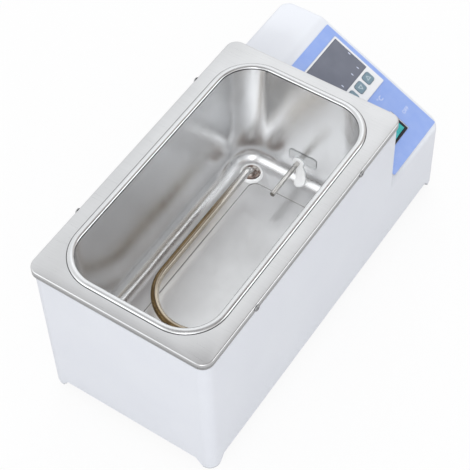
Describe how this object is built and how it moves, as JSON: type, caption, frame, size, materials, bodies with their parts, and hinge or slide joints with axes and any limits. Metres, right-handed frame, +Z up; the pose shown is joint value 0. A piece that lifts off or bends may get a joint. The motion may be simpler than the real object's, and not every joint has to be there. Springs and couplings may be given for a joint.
{
  "type": "laboratory water bath",
  "caption": "Bench water bath with an open rounded steel tank in a white casing, a U-shaped heating tube, a probe and a sloped control end with keys and a rocker.",
  "frame": {"origin": "on the table under the middle of the whole bath, between the four foot pads", "axes": "+X along the tank towards the control end, +Y away from the user towards the mains inlet, +Z up"},
  "size_m": [0.438, 0.2034, 0.199],
  "materials": {
    "powder_coat": "white powder coat, satin",
    "brushed_steel": "drawn stainless steel, brushed flange",
    "zinc_sheet": "zinc plated sheet",
    "pad_rubber": "light grey rubber",
    "grommet_rubber": "black rubber",
    "screw_steel": "plated screw steel",
    "heated_steel": "stainless tube with heat tint",
    "bronze_steel": "dark heat tinted steel",
    "silicone": "milky silicone",
    "brass": "turned brass",
    "probe_steel": "polished stainless tube",
    "blanket": "glass wool blanket",
    "black_plastic": "moulded black plastic",
    "blue_film": "printed blue film",
    "white_plastic": "moulded white plastic",
    "smoked_window": "smoked display window",
    "grey_plastic": "moulded grey plastic",
    "pin_brass": "tinned brass",
    "sink_aluminium": "extruded aluminium",
    "key_plastic": "grey blue keys",
    "green_lens": "translucent green rocker"
  },
  "bodies": {
    "bath": {"casing": "powder_coat", "tank": "brushed_steel", "base_plate": "zinc_sheet", "foot_pad_1": "pad_rubber", "foot_pad_2": "pad_rubber", "foot_pad_3": "pad_rubber", "foot_pad_4": "pad_rubber", "bulkhead": "zinc_sheet", "cable_grommet_1": "grommet_rubber", "cable_grommet_2": "grommet_rubber", "skirt_screw_1": "screw_steel", "skirt_screw_2": "screw_steel", "skirt_screw_3": "screw_steel", "skirt_screw_4": "screw_steel", "base_screw_1": "screw_steel", "base_screw_2": "screw_steel", "base_screw_3": "screw_steel", "base_screw_4": "screw_steel", "base_screw_5": "screw_steel", "base_screw_6": "screw_steel", "heating_element": "heated_steel", "element_gland_1": "bronze_steel", "element_gland_2": "bronze_steel", "gland_seal_1": "silicone", "gland_seal_2": "silicone", "gland_nut_1": "brass", "gland_nut_2": "brass", "element_terminal_1": "screw_steel", "element_terminal_2": "screw_steel", "probe": "probe_steel", "probe_seal": "silicone", "probe_nut": "brass", "insulation_jacket": "blanket", "overheat_cutout": "black_plastic", "control_overlay": "blue_film", "controller_bezel": "white_plastic", "controller_window": "smoked_window", "controller_module": "grey_plastic", "switch_body": "black_plastic", "switch_blade_1": "brass", "switch_blade_2": "brass", "switch_blade_3": "brass", "switch_blade_4": "brass", "mains_inlet": "black_plastic", "inlet_pin_1": "pin_brass", "inlet_pin_2": "pin_brass", "inlet_pin_3": "pin_brass", "relay_sink": "sink_aluminium", "solid_state_relay": "black_plastic", "terminal_block": "white_plastic", "earth_stud": "brass", "earth_nut": "brass"},
    "key_1": {"key_1": "key_plastic"},
    "key_2": {"key_2": "key_plastic"},
    "key_3": {"key_3": "key_plastic"},
    "key_4": {"key_4": "key_plastic"},
    "rocker": {"rocker": "green_lens"}
  },
  "joints": [
    {"name": "key_1_press", "type": "slide", "parent": "bath", "child": "key_1", "axis": [0, 0.4707, -0.8823], "range_m": [0, 0.0006], "stiffness_N_per_m": 2000},
    {"name": "key_2_press", "type": "slide", "parent": "bath", "child": "key_2", "axis": [0, 0.4707, -0.8823], "range_m": [0, 0.0006], "stiffness_N_per_m": 2000},
    {"name": "key_3_press", "type": "slide", "parent": "bath", "child": "key_3", "axis": [0, 0.4707, -0.8823], "range_m": [0, 0.0006], "stiffness_N_per_m": 2000},
    {"name": "key_4_press", "type": "slide", "parent": "bath", "child": "key_4", "axis": [0, 0.4707, -0.8823], "range_m": [0, 0.0006], "stiffness_N_per_m": 2000},
    {"name": "rocker_tilt", "type": "hinge", "parent": "bath", "child": "rocker", "pos_m": [0.1706, -0.06554, 0.11116], "axis": [0, -0.8823, -0.4707], "range_deg": [0, 22]}
  ]
}
